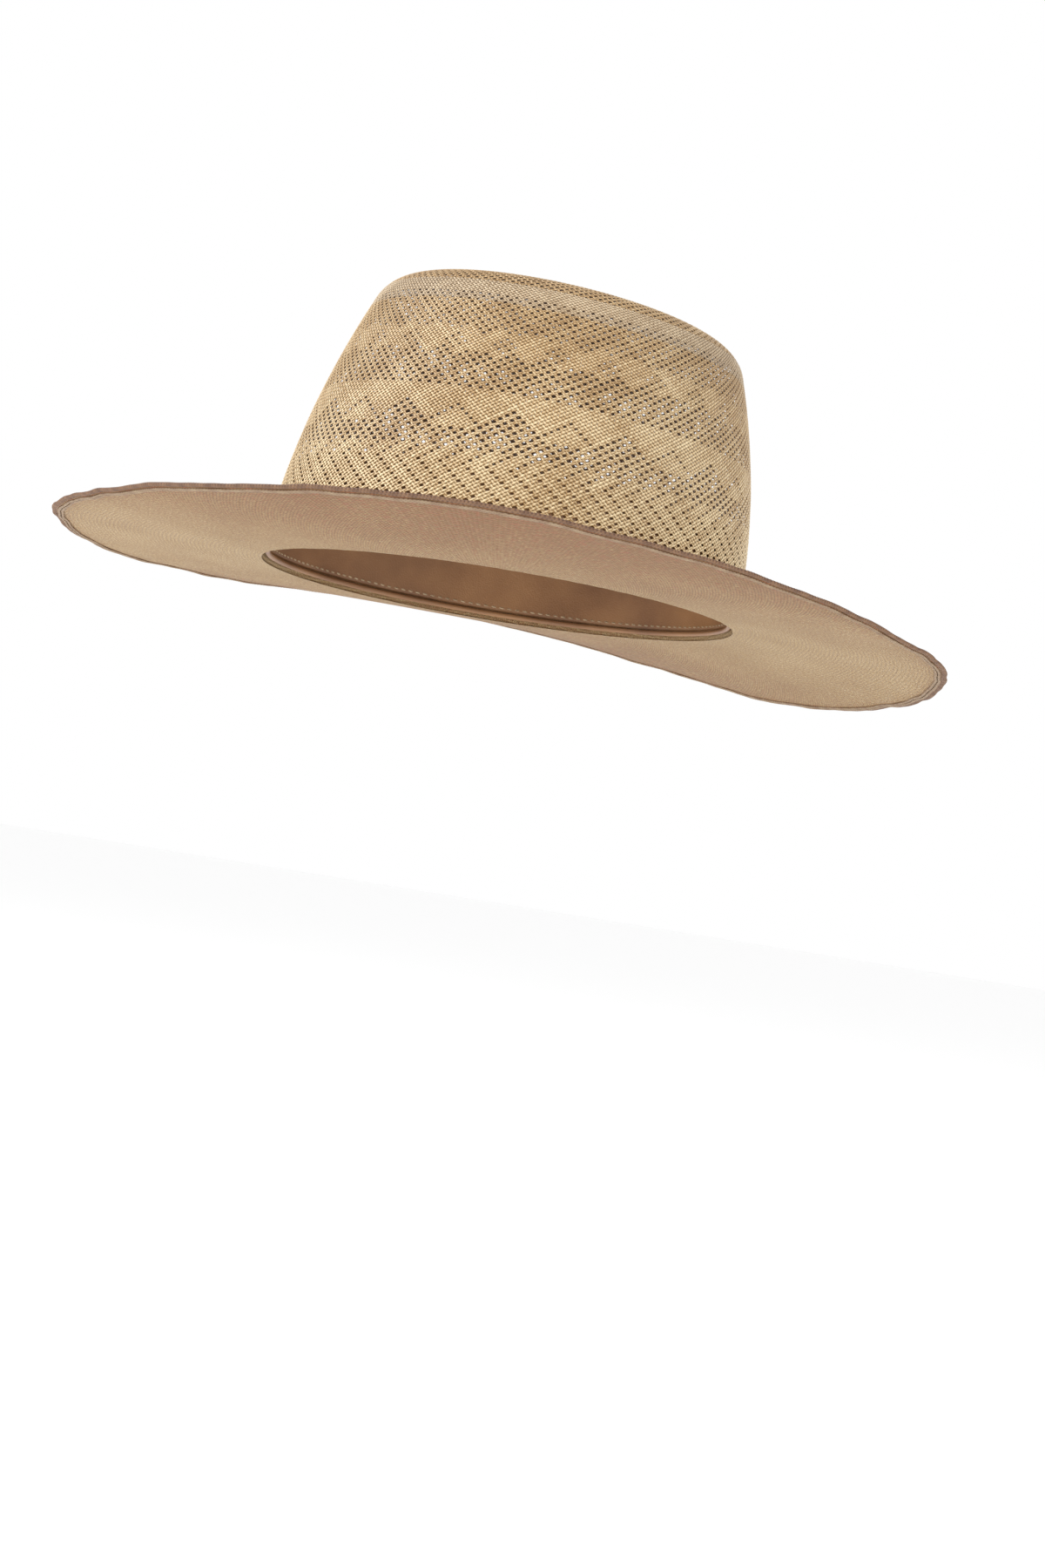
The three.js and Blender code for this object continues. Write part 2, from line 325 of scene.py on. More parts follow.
def uneven(row, column):
    """A fixed, scattered share for each cell, so that no two holes are quite alike."""
    by_row, by_column, in_all = SCATTER
    value = np.sin(row * by_row + np.mod(column, COLUMNS) * by_column) * in_all
    return 1 - HOLE_SPREAD * (value - np.floor(value))


def chevron(row, column, band):
    """Lines of single holes two columns apart, which lean one way up to the bend, then the other."""
    low, bend, high = band
    lean = np.abs(row - bend) / 2
    inside = (row >= low) & (row < high)
    return inside & (np.abs(np.mod(column - lean + 1, 2) - 1) < LINE_REACH)


def clusters(row, column):
    """Small diamonds of holes in the dense band under the upper mesh."""
    along = np.abs(np.mod(column, PERIOD / 2) - PERIOD / 4)
    return np.abs(row - CLUSTER_ROW) / 2 + along <= CLUSTER_REACH


# ---- weaving --------------------------------------------------------------------------------

def row_heights(start, end, columns):
    """mm up the outline of each row of the weave: rows get closer as the crown narrows."""
    ups = [start]
    while ups[-1] < end:
        ups.append(ups[-1] + ROW_SQUASH * cell_pitch(ups[-1], columns) / 2)
    return np.array(ups)


def cell_pitch(up, columns):
    """mm from one column to the next, averaged round the oval."""
    return TURN * outline_at(up)[0] * (1 + NARROWNESS) / 2 / columns


def hole_share(pattern, cell, lane, rising):
    """How open the cells are along a strand: cell is the position along it, lane the one across."""
    before = np.floor(cell - 0.5)
    past = cell - 0.5 - before
    blend = past * past * (3 - 2 * past)
    shares = []
    for nearest in (before, before + 1):
        column = (nearest - lane) / 2 if rising else (lane - nearest) / 2
        shares.append(pattern(nearest + lane + 1, column))
    return shares[0] * (1 - blend) + shares[1] * blend


def painted_weave_shade(ride):
    """Painted shade for each corner of a strand's section: deeper where the strand passes under
    another, on its sides, and most on its inner face.
    """
    under = (0.5 - ride / (2 * STRAND_WAVE))[:, :, None]
    return UNDER_CROSSING_SHADE * under + np.array(SECTION_SHADES)


def strand_lines(pattern, columns, first_row, last_row, rising):
    """One family of slanting strands: along and across the weave, openness, and ride in mm."""
    samples = (last_row - first_row) * SAMPLES + 1
    number = np.arange(2 * columns)[:, None]
    lane = number // 2
    side = np.where(number % 2 == 0, -1.0, 1.0)
    straight = lane + 0.5 + PAIR_OFFSET * side + np.zeros((1, samples))
    cell = first_row - straight + np.arange(samples)[None] / SAMPLES
    opened = hole_share(pattern, cell, lane, rising)
    bulge = BUNCH + BULGE * np.cos(TURN * (cell - 0.5))
    across = straight + side * opened * bulge
    turn = TURN * (cell - PAIR_OFFSET) + math.pi * number
    ride = STRAND_WAVE * np.cos(turn) * (1 - FLATTER_AT_HOLES * opened)
    return cell, across, opened, ride if rising else -ride


def weave(name, pattern, ups, columns, parts, first_row, last_row, material, node):
    """Two families of strands that cross on the slant and part round each hole."""
    strands = 2 * columns
    for family, rising in (("a", True), ("b", False)):
        cell, across, opened, ride = strand_lines(pattern, columns, first_row, last_row, rising)
        column = (cell - across) / 2 if rising else (across - cell) / 2
        up = np.interp(cell + across, np.arange(len(ups)), ups)
        angle = PATTERN_START + TURN * column / columns
        depth = -STRAW / 2 + ride + (RISING_PROUD if rising else -RISING_PROUD)
        paths = on_crown(angle, up, depth)
        normals = on_crown(angle, up, depth + FACE_STEP) - paths
        normals /= np.linalg.norm(normals, axis=-1, keepdims=True)
        cell_width = cell_pitch(up, columns) * ROW_SQUASH / math.hypot(1, ROW_SQUASH)
        half_width = cell_width * (DENSE_HALF_WIDTH - MESH_NARROWING * opened)
        ring, quads = strand_mesh(paths, normals, half_width, STRAND_THICKNESS)
        # each strand's own random tone, plus painted shade under crossings, on its sides and on its
        # inner face
        tone = rng.uniform(0, STRAND_VARIATION, (strands, 1, 1)) + painted_weave_shade(ride)
        tone = tone + DARKER_UPWARDS * (up[:, :, None] / SHOULDER_TOP - 0.5)
        flat = np.repeat(np.stack([cell, across], -1)[:, :, None], SECTION_POINTS, axis=2)
        points_per_strand = ring.shape[1] * SECTION_POINTS
        edges = np.linspace(0, strands, parts + 1).astype(int)
        for part, (low, high) in enumerate(zip(edges[:-1], edges[1:])):
            mesh_piece(
                f"{name}_{family}{part + 1}", ring[low:high],
                quads[low:high] - low * points_per_strand, material,
                node, tone[low:high], flat[low:high],
            )


# ---- materials ------------------------------------------------------------------------------

SHADER_SOCKETS = {
    "roughness": "Roughness",
    "specular": "Specular IOR Level",
    "sheen": "Sheen Weight",
    "sheen_roughness": "Sheen Roughness",
}
MIX_FACTOR, MIX_FIRST, MIX_SECOND, MIX_RESULT = 0, 6, 7, 2   # the mix node's colour sockets
STRAW_STOPS = (0.12, 0.4, 0.74)   # tones at which a colour is pale, middle and deep
BRIM_STOPS = (0.15, 0.5, 0.85)
CORD_STOPS = (0.2, 0.8)
PATCH_STOPS = (0.3, 0.7)
GROOVE_SHARPNESS = 9         # more makes the grooves between the brim's strands narrower
GROOVE_DEPTH = 0.35
ROW_GAP_SHARPNESS = 10
ROW_GAP_DEPTH = 0.5
BRIM_LIGHTER = 0.76          # brings the brim's tones back into the range of its stops
DASH_LIMIT = 0.55            # noise over which the straw has a reddish dash
REDDENS_FROM = 0.35          # tone at which dashes begin to show
REDDENS_BY = 1.5
SPECK_LIMIT = 0.72
SPECK_STRENGTH = 0.4


def linear(red, green, blue):
    """A display colour, 0 to 255, as the linear colour that nodes take."""
    def one(v):
        v /= 255
        return v / 12.92 if v <= 0.04045 else ((v + 0.055) / 1.055) ** 2.4
    return (one(red), one(green), one(blue), 1)


class Nodes:
    """Short names for making a material's nodes and links."""

    def __init__(self, name):
        self.material = bpy.data.materials.new(name)
        self.material.use_nodes = True
        self.tree = self.material.node_tree
        self.shader = self.tree.nodes["Principled BSDF"]

    def plug(self, node, socket, value):
        """Links an output to a socket, or sets the socket to a constant."""
        if isinstance(value, bpy.types.NodeSocket):
            self.tree.links.new(value, node.inputs[socket])
        else:
            node.inputs[socket].default_value = value

    def add(self, kind, inputs, **settings):
        node = self.tree.nodes.new(kind)
        for key, value in settings.items():
            setattr(node, key, value)
        for socket, value in inputs.items():
            self.plug(node, socket, value)
        return node

    def surface(self, colour, **values):
        """The shader's colour, and constants for its other sockets."""
        self.plug(self.shader, "Base Color", colour)
        for key, value in values.items():
            self.plug(self.shader, SHADER_SOCKETS[key], value)

    def noise(self, vector, scale, detail):
        inputs = {"Vector": vector, "Scale": scale, "Detail": detail}
        return self.add("ShaderNodeTexNoise", inputs).outputs["Fac"]

    def stretched(self, across, along):
        inputs = {"Vector": self.flat_map(), "Scale": (across, along, 1)}
        return self.add("ShaderNodeMapping", inputs).outputs["Vector"]

    def ramp(self, factor, stops, *colours):
        """A colour for each stop of the factor, blended between them."""
        node = self.add("ShaderNodeValToRGB", {"Fac": factor})
        ramp = node.color_ramp
        while len(ramp.elements) < len(stops):
            ramp.elements.new(0.5)
        for element, position, colour in zip(ramp.elements, stops, colours):
            element.position = position
            element.color = colour
        return node.outputs["Color"]

    def mix(self, factor, first, second):
        inputs = {MIX_FACTOR: factor, MIX_FIRST: first, MIX_SECOND: second}
        return self.add("ShaderNodeMix", inputs, data_type="RGBA").outputs[MIX_RESULT]

    def math(self, operation, first, second=0.0):
        return self.add("ShaderNodeMath", {0: first, 1: second}, operation=operation).outputs[0]

    def weighted(self, *terms):
        """The sum of values times their weights."""
        products = [self.math("MULTIPLY", value, weight) for value, weight in terms]
        total = products[0]
        for product in products[1:]:
            total = self.math("ADD", total, product)
        return total

    def bump(self, height, distance, strength):
        inputs = {"Height": height, "Distance": distance, "Strength": strength}
        self.plug(self.shader, "Normal", self.add("ShaderNodeBump", inputs).outputs["Normal"])

    def flat_map(self):
        return self.add("ShaderNodeUVMap", {}, uv_map="weave_map").outputs["UV"]

    def place(self):
        return self.add("ShaderNodeTexCoord", {}).outputs["Object"]

    def tone(self):
        return self.add("ShaderNodeAttribute", {}, attribute_name="tone").outputs["Fac"]


def straw_material(name, pale, middle, deep):
    """Split straw: each strand has its own tone, with fine fibres along it."""
    n = Nodes(name)
    fibre = n.noise(n.stretched(1.2, 26), 1.0, 4)
    patch = n.noise(n.place(), 26, 3)
    # for the woven strands, the tone attribute holds each strand's own tone and the painted shade of
    # the weave
    tone = n.weighted((n.tone(), 0.8), (fibre, 0.2), (n.math("SUBTRACT", patch, 0.5), 0.25))
    colour = n.ramp(tone, STRAW_STOPS, pale, middle, deep)
    n.surface(colour, roughness=0.42, specular=0.5, sheen=0.15, sheen_roughness=0.5)
    n.bump(fibre, 0.12 * MM, 0.6)
    return n.material


def brim_pits(n, across, row):
    """How high the weave stands, and how deep the dents are between strands and between rows."""
    rising = n.math("COSINE", n.math("MULTIPLY", n.math("ADD", row, across), math.pi))
    falling = n.math("COSINE", n.math("MULTIPLY", n.math("SUBTRACT", row, across), math.pi))
    between = n.math("ABSOLUTE", n.math("COSINE", n.math("MULTIPLY", row, math.pi)))
    nearest = n.math("MAXIMUM", n.math("ABSOLUTE", rising), n.math("ABSOLUTE", falling))
    grooves = n.math("POWER", nearest, GROOVE_SHARPNESS)
    row_gap = n.math("POWER", between, ROW_GAP_SHARPNESS)
    row_gap = n.math("MULTIPLY", row_gap, n.math("ABSOLUTE", rising))
    pits = n.weighted((grooves, GROOVE_DEPTH), (row_gap, ROW_GAP_DEPTH))
    over = n.math("MULTIPLY", rising, falling)
    return n.math("SUBTRACT", n.math("MULTIPLY", over, 0.5), pits), pits


def brim_material(name, pale, middle, deep, groove_shade_and_speck_colour, fleck_colour):
    """Fine plain weave in rows: the flat map counts cells across and rows in from the edge."""
    n = Nodes(name)
    cell = n.add("ShaderNodeSeparateXYZ", {"Vector": n.flat_map()})
    height, pits = brim_pits(n, cell.outputs["X"], cell.outputs["Y"])
    patch = n.noise(n.place(), 24, 4)
    fibre = n.noise(n.stretched(0.7, 2), 1.3, 4)
    # the tone attribute carries painted shade: the underside deeper than the top, darker along the
    # sides and beside the cords
    tone = n.weighted((patch, 0.35), (fibre, 1.5), (n.tone(), 0.75))
    tone = n.math("SUBTRACT", tone, BRIM_LIGHTER)
    colour = n.ramp(tone, BRIM_STOPS, pale, middle, deep)
    dash = n.math("GREATER_THAN", n.noise(n.stretched(0.25, 1.1), 1.7, 3), DASH_LIMIT)
    # the reddish dashes grow with the tone, and so with the painted shade
    redness = n.math("MULTIPLY", n.math("SUBTRACT", n.tone(), REDDENS_FROM), REDDENS_BY)
    colour = n.mix(n.math("MULTIPLY", dash, redness), colour, fleck_colour)
    # painted shade in the grooves between strands and between rows
    colour = n.mix(pits, colour, groove_shade_and_speck_colour)
    speck = n.math("GREATER_THAN", n.noise(n.place(), 700, 2), SPECK_LIMIT)
    colour = n.mix(n.math("MULTIPLY", speck, SPECK_STRENGTH), colour, groove_shade_and_speck_colour)
    n.surface(colour, roughness=0.58, specular=0.35)
    n.bump(height, 0.3 * MM, 0.9)
    return n.material


def cord_material(name, pale, deep):
    """Twisted straw or thread, deeper where its tone is higher; the ropes' tones hold painted shade
    where they dip.
    """
    n = Nodes(name)
    fibre = n.noise(n.place(), 900, 3)
    patch = n.noise(n.place(), 160, 3)
    tone = n.weighted((n.tone(), 0.4), (fibre, 0.2), (patch, 0.4))
    n.surface(n.ramp(tone, CORD_STOPS, deep, pale), roughness=0.6)
    n.bump(fibre, 0.1 * MM, 0.5)
    return n.material


def leather_material(name, light, dark):
    """Smooth brown leather with a fine pebbled grain."""
    n = Nodes(name)
    grain = n.add("ShaderNodeTexVoronoi", {"Vector": n.place(), "Scale": 1400})
    crease = n.noise(n.place(), 300, 5)
    patch = n.noise(n.place(), 30, 3)
    n.surface(n.ramp(patch, PATCH_STOPS, dark, light), roughness=0.42)
    n.bump(n.weighted((grain.outputs["Distance"], 1), (crease, 0.6)), 0.12 * MM, 0.5)
    return n.material


def ribbon_material(name, light, dark):
    """Grosgrain ribbon: fine ribs across its length."""
    n = Nodes(name)
    cell = n.add("ShaderNodeSeparateXYZ", {"Vector": n.flat_map()})
    rib = n.math("SINE", n.math("MULTIPLY", cell.outputs["Y"], TURN))
    patch = n.noise(n.place(), 500, 3)
    n.surface(n.ramp(patch, PATCH_STOPS, dark, light), roughness=0.5, sheen=0.3)
    n.bump(rib, 0.15 * MM, 0.7)
    return n.material


STRAW_CROWN = straw_material(
    "crown_straw", linear(227, 209, 171), linear(159, 126, 80), linear(70, 42, 19))
STRAW_SHOULDER = straw_material(
    "shoulder_straw", linear(214, 197, 168), linear(160, 136, 104), linear(80, 58, 38))
STRAW_BRIM = brim_material(
    "brim_straw", linear(206, 184, 145), linear(170, 142, 99), linear(132, 98, 62),
    linear(90, 58, 36), linear(150, 96, 66))
STRAW_EDGE = cord_material("edge_straw", linear(138, 104, 74), linear(58, 28, 20))
STRAW_CORD = cord_material("cord_straw", linear(168, 148, 118), linear(102, 64, 46))
LEATHER = leather_material("band_leather", linear(148, 106, 68), linear(116, 78, 48))
RIBBON = ribbon_material("tape_ribbon", linear(64, 42, 32), linear(44, 28, 22))
THREAD = cord_material("band_thread", linear(196, 172, 138), linear(140, 112, 82))


# ---- woven crown ----------------------------------------------------------------------------

def build_crown():
    ups = row_heights(0, SHOULDER_TOP + SPARE_ROWS, COLUMNS)
    side_top = int(np.searchsorted(ups, SIDE_TOP))
    tip_start = int(np.searchsorted(ups, SHOULDER_TOP))
    weave("crown_side", openwork, ups, COLUMNS, SIDE_PARTS, 0, side_top, STRAW_CROWN,
          "crown_side")
    weave("crown_shoulder", openwork, ups, COLUMNS, 1, side_top, tip_start, STRAW_SHOULDER,
          "crown_shoulder")
    return ups[tip_start]


def tip_pattern(first, last):
    """Openwork of one ring of the tip: a mesh whose inner edge makes small peaks."""
    def holes(row, column):
        peak = np.abs(np.mod(column, TIP_PEAK) - TIP_PEAK / 2)
        return ((row >= first) & (row < last - peak)) * uneven(row, column)

    return holes


def build_tip(start):
    """Rings of openwork, each with fewer strands than the one outside it."""
    for ring, (columns, end) in enumerate(TIP_RINGS):
        ups = row_heights(start, end, columns)
        rows = len(ups) - 1
        first = TIP_DENSE_ROWS if ring else 0
        weave(f"crown_tip_{ring + 1}", tip_pattern(first, rows - TIP_DENSE_ROWS), ups,
              columns, 1, 0, rows, STRAW_CROWN, "crown_tip")
        start = ups[-1]
    return start


def build_tip_centre(start):
    """The closed disc of straw where the weaving began."""
    angle, share = np.meshgrid(
        np.linspace(0, TURN, CENTRE_AROUND, endpoint=False), np.linspace(0, 1, CENTRE_RINGS))
    up = OUTLINE_LENGTH - (OUTLINE_LENGTH - start + CENTRE_OVERLAP) * share
    spokes = np.cos(angle * CENTRE_STRANDS + share * CENTRE_SWIRL)
    relief = CENTRE_RELIEF * spokes * np.cos(share * CENTRE_ROWS * math.pi)
    middle = relief * share - STRAW / 2
    top = on_crown(angle, up, middle + CENTRE_HALF_THICKNESS)
    under = on_crown(angle, up, middle - CENTRE_HALF_THICKNESS)
    points = np.concatenate([top, under[::-1]])
    flat = np.stack([angle * CENTRE_STRANDS / TURN, share * CENTRE_ROWS], -1)
    flat = np.concatenate([flat, flat[::-1]])
    tones = np.full(points.shape[:2], CENTRE_TONE)
    quads = grid_quads(2 * CENTRE_RINGS, CENTRE_AROUND, close_rows=True, close_columns=True)
    mesh_piece("crown_tip_centre", points, quads, STRAW_CROWN,
               "crown_tip", tones, flat)


build_tip_centre(build_tip(build_crown()))


# ---- brim -----------------------------------------------------------------------------------

BRIM_ROW = 1.7               # mm between rows of the brim's weave
BRIM_CELLS = 660             # cells of the weave round the brim
BRIM_AROUND = 880            # steps of the mesh
BRIM_ACROSS = 208
BRIM_WALL_ROWS = 8           # steps up the wall that ends the sheet at the crown
BRIM_RELIEF = 0.1
BRIM_ROW_FLATNESS = 3        # more makes the rows flatter, with narrower valleys
FILLET = 4.5                 # mm, where the brim turns up into the crown
EDGE_TRIM = EDGE_ROLL - 0.7  # the sheet ends inside the roll, so no light shows between
BRIM_SECTORS = 4
# painted shade: the underside's tone is set deeper than the top's
UNDERSIDE_SHADE_TONE = 0.4
BRIM_SIDE_SHADE = 0.55              # painted shade: how much darker the underside is along the sides than in front
SIDE_SHADE_AT_CROWN = 0.35          # share of that painted shade which is left where the brim meets the crown
CORD_SHADE = 0.5               # painted shade: how much darker it is beside the cords
CORD_SHADE_REACH = 3           # mm over which that fades
TOP_TONE = 0.2
TOP_SHADE_SHARE = 0.3                # share of the underside's painted shade that the top has

ROPE_SIDES = 12
ROPE_SAMPLES = 5             # steps along the rope to a twist
ROPE_RELIEF = 0.12           # how deep the valleys between its ridges are, to its half width
ROPE_SLACK = ((71, 1.1, 0), (113, 0.8, 2))   # count, size, start: uneven spacing of the twists
ROPE_SWELL = ((97, 0.05, 0),)
ROPE_SIDEWAYS = ((61, 0.12, 0), (37, 0.1, 1))
ROPE_UPWARDS = ((43, 0.08, 0), (29, 0.07, 2))
ROPE_DARK_ABOVE = 0.45       # how much darker its upper side is
ROPE_DARK_FROM = 0.3
ROPE_LIGHTNESS = 0.8         # and how it changes along the rope
ROPE_PATCHES = ((173, 0.2, 0),)


def build_brim():
    """Top and underside in one closed sheet, with raised rows that follow the edge."""
    angle, share = np.meshgrid(
        np.linspace(0, TURN, BRIM_AROUND + 1), np.linspace(0, 1, BRIM_ACROSS))
    width = brim_width(angle) - EDGE_TRIM
    inset = EDGE_TRIM + width * (1 - share)
    row = (inset - EDGE_TRIM) / BRIM_ROW
    valley = BRIM_RELIEF * np.abs(np.cos(math.pi * row)) ** BRIM_ROW_FLATNESS
    near = np.clip(1 - (width * share - STRAW) / FILLET, 0, 1)
    fillet = FILLET * (1 - np.sqrt(1 - near ** 2))
    top = on_brim(angle, inset, fillet - valley)
    under = on_brim(angle, inset, valley - STRAW)
    upwards = np.linspace(0, 1, BRIM_WALL_ROWS)[:, None, None]
    wall = under[0] * (1 - upwards) + top[0] * upwards
    points = np.concatenate([top, under[::-1], wall])
    flat = np.stack([angle / TURN * BRIM_CELLS, row], -1)
    fold = (FILLET + STRAW) / 2 / BRIM_ROW * (1 - np.abs(2 * upwards - 1))
    flat = np.concatenate([flat, flat[::-1], flat[0] + fold * np.array([0, 1])])
    # painted shade along the sides of the brim, then beside the cords
    tan = BRIM_SIDE_SHADE * np.sin(angle) ** 2 * (SIDE_SHADE_AT_CROWN + (1 - SIDE_SHADE_AT_CROWN) * share)
    tan = tan + CORD_SHADE * np.exp((EDGE_TRIM - inset) / CORD_SHADE_REACH)
    # the underside is painted deeper than the top, as shade
    under_tones = UNDERSIDE_SHADE_TONE + tan
    wall_tones = np.repeat(under_tones[:1], BRIM_WALL_ROWS, axis=0)
    tones = np.concatenate([TOP_TONE + TOP_SHADE_SHARE * tan, under_tones[::-1], wall_tones])
    edges = np.linspace(0, BRIM_AROUND, BRIM_SECTORS + 1).astype(int)
    for sector, (low, high) in enumerate(zip(edges[:-1], edges[1:])):
        part = points[:, low:high + 1]
        quads = grid_quads(part.shape[0], part.shape[1], close_rows=True)
        mesh_piece(f"brim_{sector + 1}", part, quads, STRAW_BRIM, "brim",
                   tones[:, low:high + 1], flat[:, low:high + 1])


def edge_rope(name, inset, height, half_width, half_height, twists, material):
    """An uneven braided rope along the edge: two sets of ridges cross on its surface."""
    samples = twists * ROPE_SAMPLES
    turn, angle = np.meshgrid(
        np.linspace(0, TURN, ROPE_SIDES, endpoint=False),
        np.linspace(0, TURN, samples, endpoint=False))
    along = angle * twists + waves(angle, ROPE_SLACK)
    ridge = np.maximum(np.cos(along + turn * 2), np.cos(along - turn * 2))
    swell = 1 - ROPE_RELIEF * (1 - ridge) + waves(angle, ROPE_SWELL)
    points = on_brim(
        angle,
        inset + waves(angle, ROPE_SIDEWAYS) - half_width * swell * np.cos(turn),
        height + waves(angle, ROPE_UPWARDS) + half_height * swell * np.sin(turn),
    )
    quads = grid_quads(samples, ROPE_SIDES, close_rows=True, close_columns=True)
    dark_above = ROPE_DARK_ABOVE * np.clip(np.sin(turn) + ROPE_DARK_FROM, 0, 1)
    patches = ROPE_LIGHTNESS + waves(angle, ROPE_PATCHES)
    # painted shade in the valleys between the ridges, darker on the upper side, with patches along the
    # rope
    tone = np.clip(0.5 + 0.5 * ridge - dark_above, 0, 1) * patches
    mesh_piece(name, points, quads, material, name, tone)


def build_edge():
    """The rolled edge and two cords under the brim: mm in and up, half width, half height, twists."""
    edge_rope("brim_edge_roll", EDGE_ROLL / 2, -STRAW / 2, 1.3, 0.75, 900, STRAW_EDGE)
    edge_rope("brim_edge_cord_1", 3.3, -1.65, 0.58, 0.5, 800, STRAW_CORD)
    edge_rope("brim_edge_cord_2", 4.7, -1.6, 0.58, 0.5, 790, STRAW_CORD)


build_brim()
build_edge()


# ---- sweatband ------------------------------------------------------------------------------

GAP = 0.3
BAND_BOTTOM = 3.2
BAND_HEIGHT = 36
BAND_THICKNESS = 0.9
BAND_AROUND = 720
BAND_STEPS = 40
BAND_WAVE = 0.12             # mm that the leather waves at its top, and a finer wave over it
BAND_FINE_WAVE = 0.08
REED = 2.4
REED_SIDES = 14
STITCH_HEIGHT = 5
STITCH_SPACING = 3.4         # mm from one stitch to the next
STITCH_SHARE = 0.72          # share of the spacing that a stitch takes
STITCH_ARCH = 0.42           # mm that it rises in its middle
STITCH_SUNK = 0.35           # mm that its ends lie in the leather
STITCH_RADIUS = 0.36
STITCH_END = 0.6             # share of the radius at its ends
STITCH_SLANT = 0.25
STITCH_SIDES = 8
STITCH_SAMPLES = 7
TAPE_WIDTH = 14
TAPE_THICKNESS = 0.6
TAPE_BOTTOM = 7
TAPE_TOP = 36
TAPE_RIB = 0.8               # mm from rib to rib
TAPE_RIBBON = 0.4            # thickness of the ribbon within the tape's room
TAPE_WAVE = 0.1
TAPE_STEPS = (40, 60)        # across and up
BOW_HALF_WIDTH = 9
BOW_HEIGHT = 11
BOW_RIB = 0.7
LOOP_RIBBON = 0.22
LOOP_STEPS = (90, 14)        # round the ribbon and across it
LOOP_REACH = 0.92            # share of the half width
LOOP_WAIST = 1.3             # half the loops' height at the knot, then how much it grows
LOOP_FLARE = 2.6
LOOP_DEPTH = 0.42
LOOP_OUT = 0.62              # mm of the loops' middle from the tape, then of the knot's
KNOT_OUT = 0.75
KNOT_HALF_WIDTH = 1.5
KNOT_HALF_HEIGHT = 1.7
KNOT_DEPTH = 0.68
KNOT_RIBBON = 0.2
KNOT_STEPS = (40, 16)
KNOT_RIBS = 2.4              # ribs to a radian round the knot


def build_band():
    """The leather: a closed band with rounded top and bottom edges and slight waves."""
    angle, share = np.meshgrid(
        np.linspace(0, TURN, BAND_AROUND, endpoint=False), np.linspace(0, 1, BAND_STEPS))
    radius = BAND_THICKNESS / 2
    from_edge = np.minimum(share, 1 - share) * BAND_HEIGHT
    half = radius * np.sqrt(1 - np.clip(1 - from_edge / radius, 0, 1) ** 2)
    wave = BAND_WAVE * np.sin(angle * 7) * share
    wave = np.abs(wave + BAND_FINE_WAVE * np.sin(angle * 19 + 2) * share ** 2)
    middle = -(STRAW + GAP + radius) - wave
    up = BAND_BOTTOM + BAND_HEIGHT * share
    inner = on_crown(angle, up, middle - half)
    outer = on_crown(angle, up, middle + half)
    points = np.concatenate([inner, outer[::-1]])
    quads = grid_quads(2 * BAND_STEPS, BAND_AROUND, close_rows=True, close_columns=True)
    mesh_piece("sweatband", points, quads, LEATHER, "sweatband")


def build_reed():
    """The leather-covered reed along the band's lower edge."""
    turn, angle = np.meshgrid(
        np.linspace(0, TURN, REED_SIDES, endpoint=False),
        np.linspace(0, TURN, BAND_AROUND, endpoint=False))
    radius = REED / 2
    up = BAND_BOTTOM - GAP - radius
    inset = STRAW + 2 * GAP + radius
    points = on_crown(angle, up + radius * np.sin(turn), radius * np.cos(turn) - inset)
    quads = grid_quads(BAND_AROUND, REED_SIDES, close_rows=True, close_columns=True)
    mesh_piece("sweatband_reed", points, quads, LEATHER, "sweatband_reed")


def build_stitches():
    """Separate stitches, each a short arched length of thread that dips into the leather."""
    mean_radius = (OPENING_HALF_LENGTH + OPENING_HALF_WIDTH) / 2
    count = int(TURN * mean_radius / STITCH_SPACING)
    stitch, along, turn = np.meshgrid(
        np.arange(count), np.linspace(0, 1, STITCH_SAMPLES),
        np.linspace(0, TURN, STITCH_SIDES, endpoint=False), indexing="ij")
    angle = (stitch + along * STITCH_SHARE) * TURN / count
    bow = np.sin(math.pi * along)
    middle = STITCH_SUNK - STITCH_ARCH * bow - (STRAW + GAP + BAND_THICKNESS)
    radius = STITCH_RADIUS * (STITCH_END + (1 - STITCH_END) * bow)
    up = STITCH_HEIGHT + STITCH_SLANT * (along - 0.5) + radius * np.sin(turn)
    points = on_crown(angle, up, middle + radius * np.cos(turn))
    quads = grid_quads(STITCH_SAMPLES, STITCH_SIDES, close_columns=True).reshape(-1, 4)
    points_each = STITCH_SAMPLES * STITCH_SIDES
    starts = np.arange(count)[:, None, None] * points_each
    tones = np.repeat(rng.uniform(0.3, 0.9, count), points_each)
    mesh_piece("sweatband_stitching", points, quads[None] + starts, THREAD,
               "sweatband_stitching", tones)


def at_back(across, up, inwards):
    """Points of a piece laid on the inside of the back: mm across, up and in from the outer face."""
    return on_crown(math.pi - across / OPENING_HALF_WIDTH, up, -inwards)


def strip_grid(rows_between, columns_between, steps):
    """Two grids of numbers, one that changes down the rows and one along the columns."""
    rows, columns = steps
    return np.meshgrid(
        np.linspace(*rows_between, rows), np.linspace(*columns_between, columns), indexing="ij")


def ribbon_strip(name, across, up, inwards, thickness, node, side, ribs):
    """A closed strip of ribbon from grids of its middle surface, with a count of ribs along it."""
    top = at_back(across, up, inwards + thickness / 2)
    under = at_back(across, up, inwards - thickness / 2)
    points = np.concatenate([top, under[::-1]])
    flat = np.stack([side, ribs], -1)
    flat = np.concatenate([flat, flat[::-1]])
    rows, columns = across.shape
    quads = grid_quads(2 * rows, columns, close_rows=True)
    mesh_piece(name, points, quads, RIBBON, node, None, flat)


